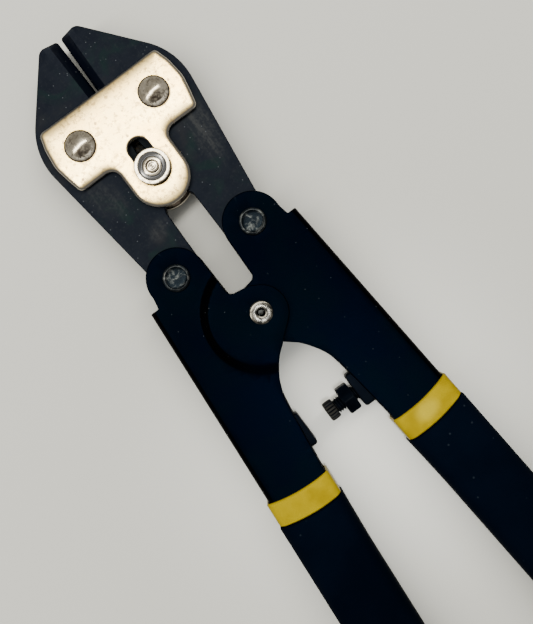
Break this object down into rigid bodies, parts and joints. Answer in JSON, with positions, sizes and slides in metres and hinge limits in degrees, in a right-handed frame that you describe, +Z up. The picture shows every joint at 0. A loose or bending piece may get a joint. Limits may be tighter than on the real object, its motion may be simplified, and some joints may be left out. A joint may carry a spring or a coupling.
{
  "type": "compact bolt cutters",
  "caption": "Hand cutter with two hinged jaws between T-shaped link plates, crossed folded-steel handles with rubber grips and an adjustable stop screw.",
  "frame": {"origin": "centre of the bounding box's underside: the surface the tool lies on, on the tool's long axis", "axes": "+Y along the tool's long axis towards the jaw tips, +Z up out of the face with the visible lapping tongue, +X towards the handle with the stop screw"},
  "size_m": [0.0684, 0.2124, 0.0132],
  "materials": {
    "phosphated_steel": "black phosphated, mottled, satin",
    "nickel_plate": "tumbled and nickel plated, fine pits",
    "rivet_steel": "bright turned steel",
    "dark_rivet": "dark steel with bright rim",
    "handle_paint": "black satin enamel",
    "band_plastic": "glossy yellow",
    "grip_rubber": "matte black",
    "black_oxide": "black oxide"
  },
  "bodies": {
    "head": {"front_link_plate": "nickel_plate", "rear_link_plate": "nickel_plate", "left_jaw_rivet": "rivet_steel", "right_jaw_rivet": "rivet_steel"},
    "guide": {"guide_pin": "rivet_steel", "front_guide_collar": "rivet_steel", "rear_guide_collar": "rivet_steel"},
    "left_jaw": {"left_jaw": "phosphated_steel", "left_ear_rivet": "dark_rivet"},
    "right_jaw": {"right_jaw": "phosphated_steel", "right_ear_rivet": "dark_rivet"},
    "left_handle": {"left_handle_frame": "handle_paint", "left_bumper_block": "black_oxide", "left_band": "band_plastic", "left_grip": "grip_rubber", "crossing_rivet": "rivet_steel"},
    "right_handle": {"right_handle_frame": "handle_paint", "right_screw_block": "black_oxide", "right_band": "band_plastic", "right_grip": "grip_rubber"},
    "screw": {"adjusting_screw": "black_oxide"},
    "nut": {"lock_nut": "black_oxide"}
  },
  "joints": [
    {"name": "left_jaw_hinge", "type": "hinge", "parent": "head", "child": "left_jaw", "pos_m": [-0.011, 0.08116, 0.0066], "axis": [0, 0, 1], "range_deg": [-1.2, 5.5]},
    {"name": "right_jaw_hinge", "type": "hinge", "parent": "head", "child": "right_jaw", "pos_m": [0.011, 0.08116, 0.0066], "axis": [0, 0, 1], "range_deg": [-5.5, 1.2]},
    {"name": "left_handle_hinge", "type": "hinge", "parent": "left_jaw", "child": "left_handle", "pos_m": [-0.01145, 0.04196, 0.0066], "axis": [0, 0, 1], "range_deg": [-16.5, 3.6]},
    {"name": "right_handle_hinge", "type": "hinge", "parent": "right_jaw", "child": "right_handle", "pos_m": [0.01145, 0.04196, 0.0066], "axis": [0, 0, 1], "range_deg": [-3.6, 16.5]},
    {"name": "guide_slide", "type": "slide", "parent": "head", "child": "guide", "axis": [0, 1, 0], "range_m": [-0.0003, 0.0012]},
    {"name": "screw_feed", "type": "slide", "parent": "right_handle", "child": "screw", "axis": [1, 0, 0], "range_m": [-0.0027, 0.0018]},
    {"name": "lock_nut_turn", "type": "hinge", "parent": "right_handle", "child": "nut", "pos_m": [0.0045, -0.00634, 0.0066], "axis": [1, 0, 0], "continuous": true}
  ],
  "couplings": [
    {"joint": "right_jaw_hinge", "follows": "left_jaw_hinge", "ratio": -1},
    {"joint": "left_handle_hinge", "follows": "left_jaw_hinge", "ratio": -3},
    {"joint": "right_handle_hinge", "follows": "left_jaw_hinge", "ratio": 3},
    {"joint": "guide_slide", "follows": "left_jaw_hinge", "m_per_rad": 0.0113}
  ]
}
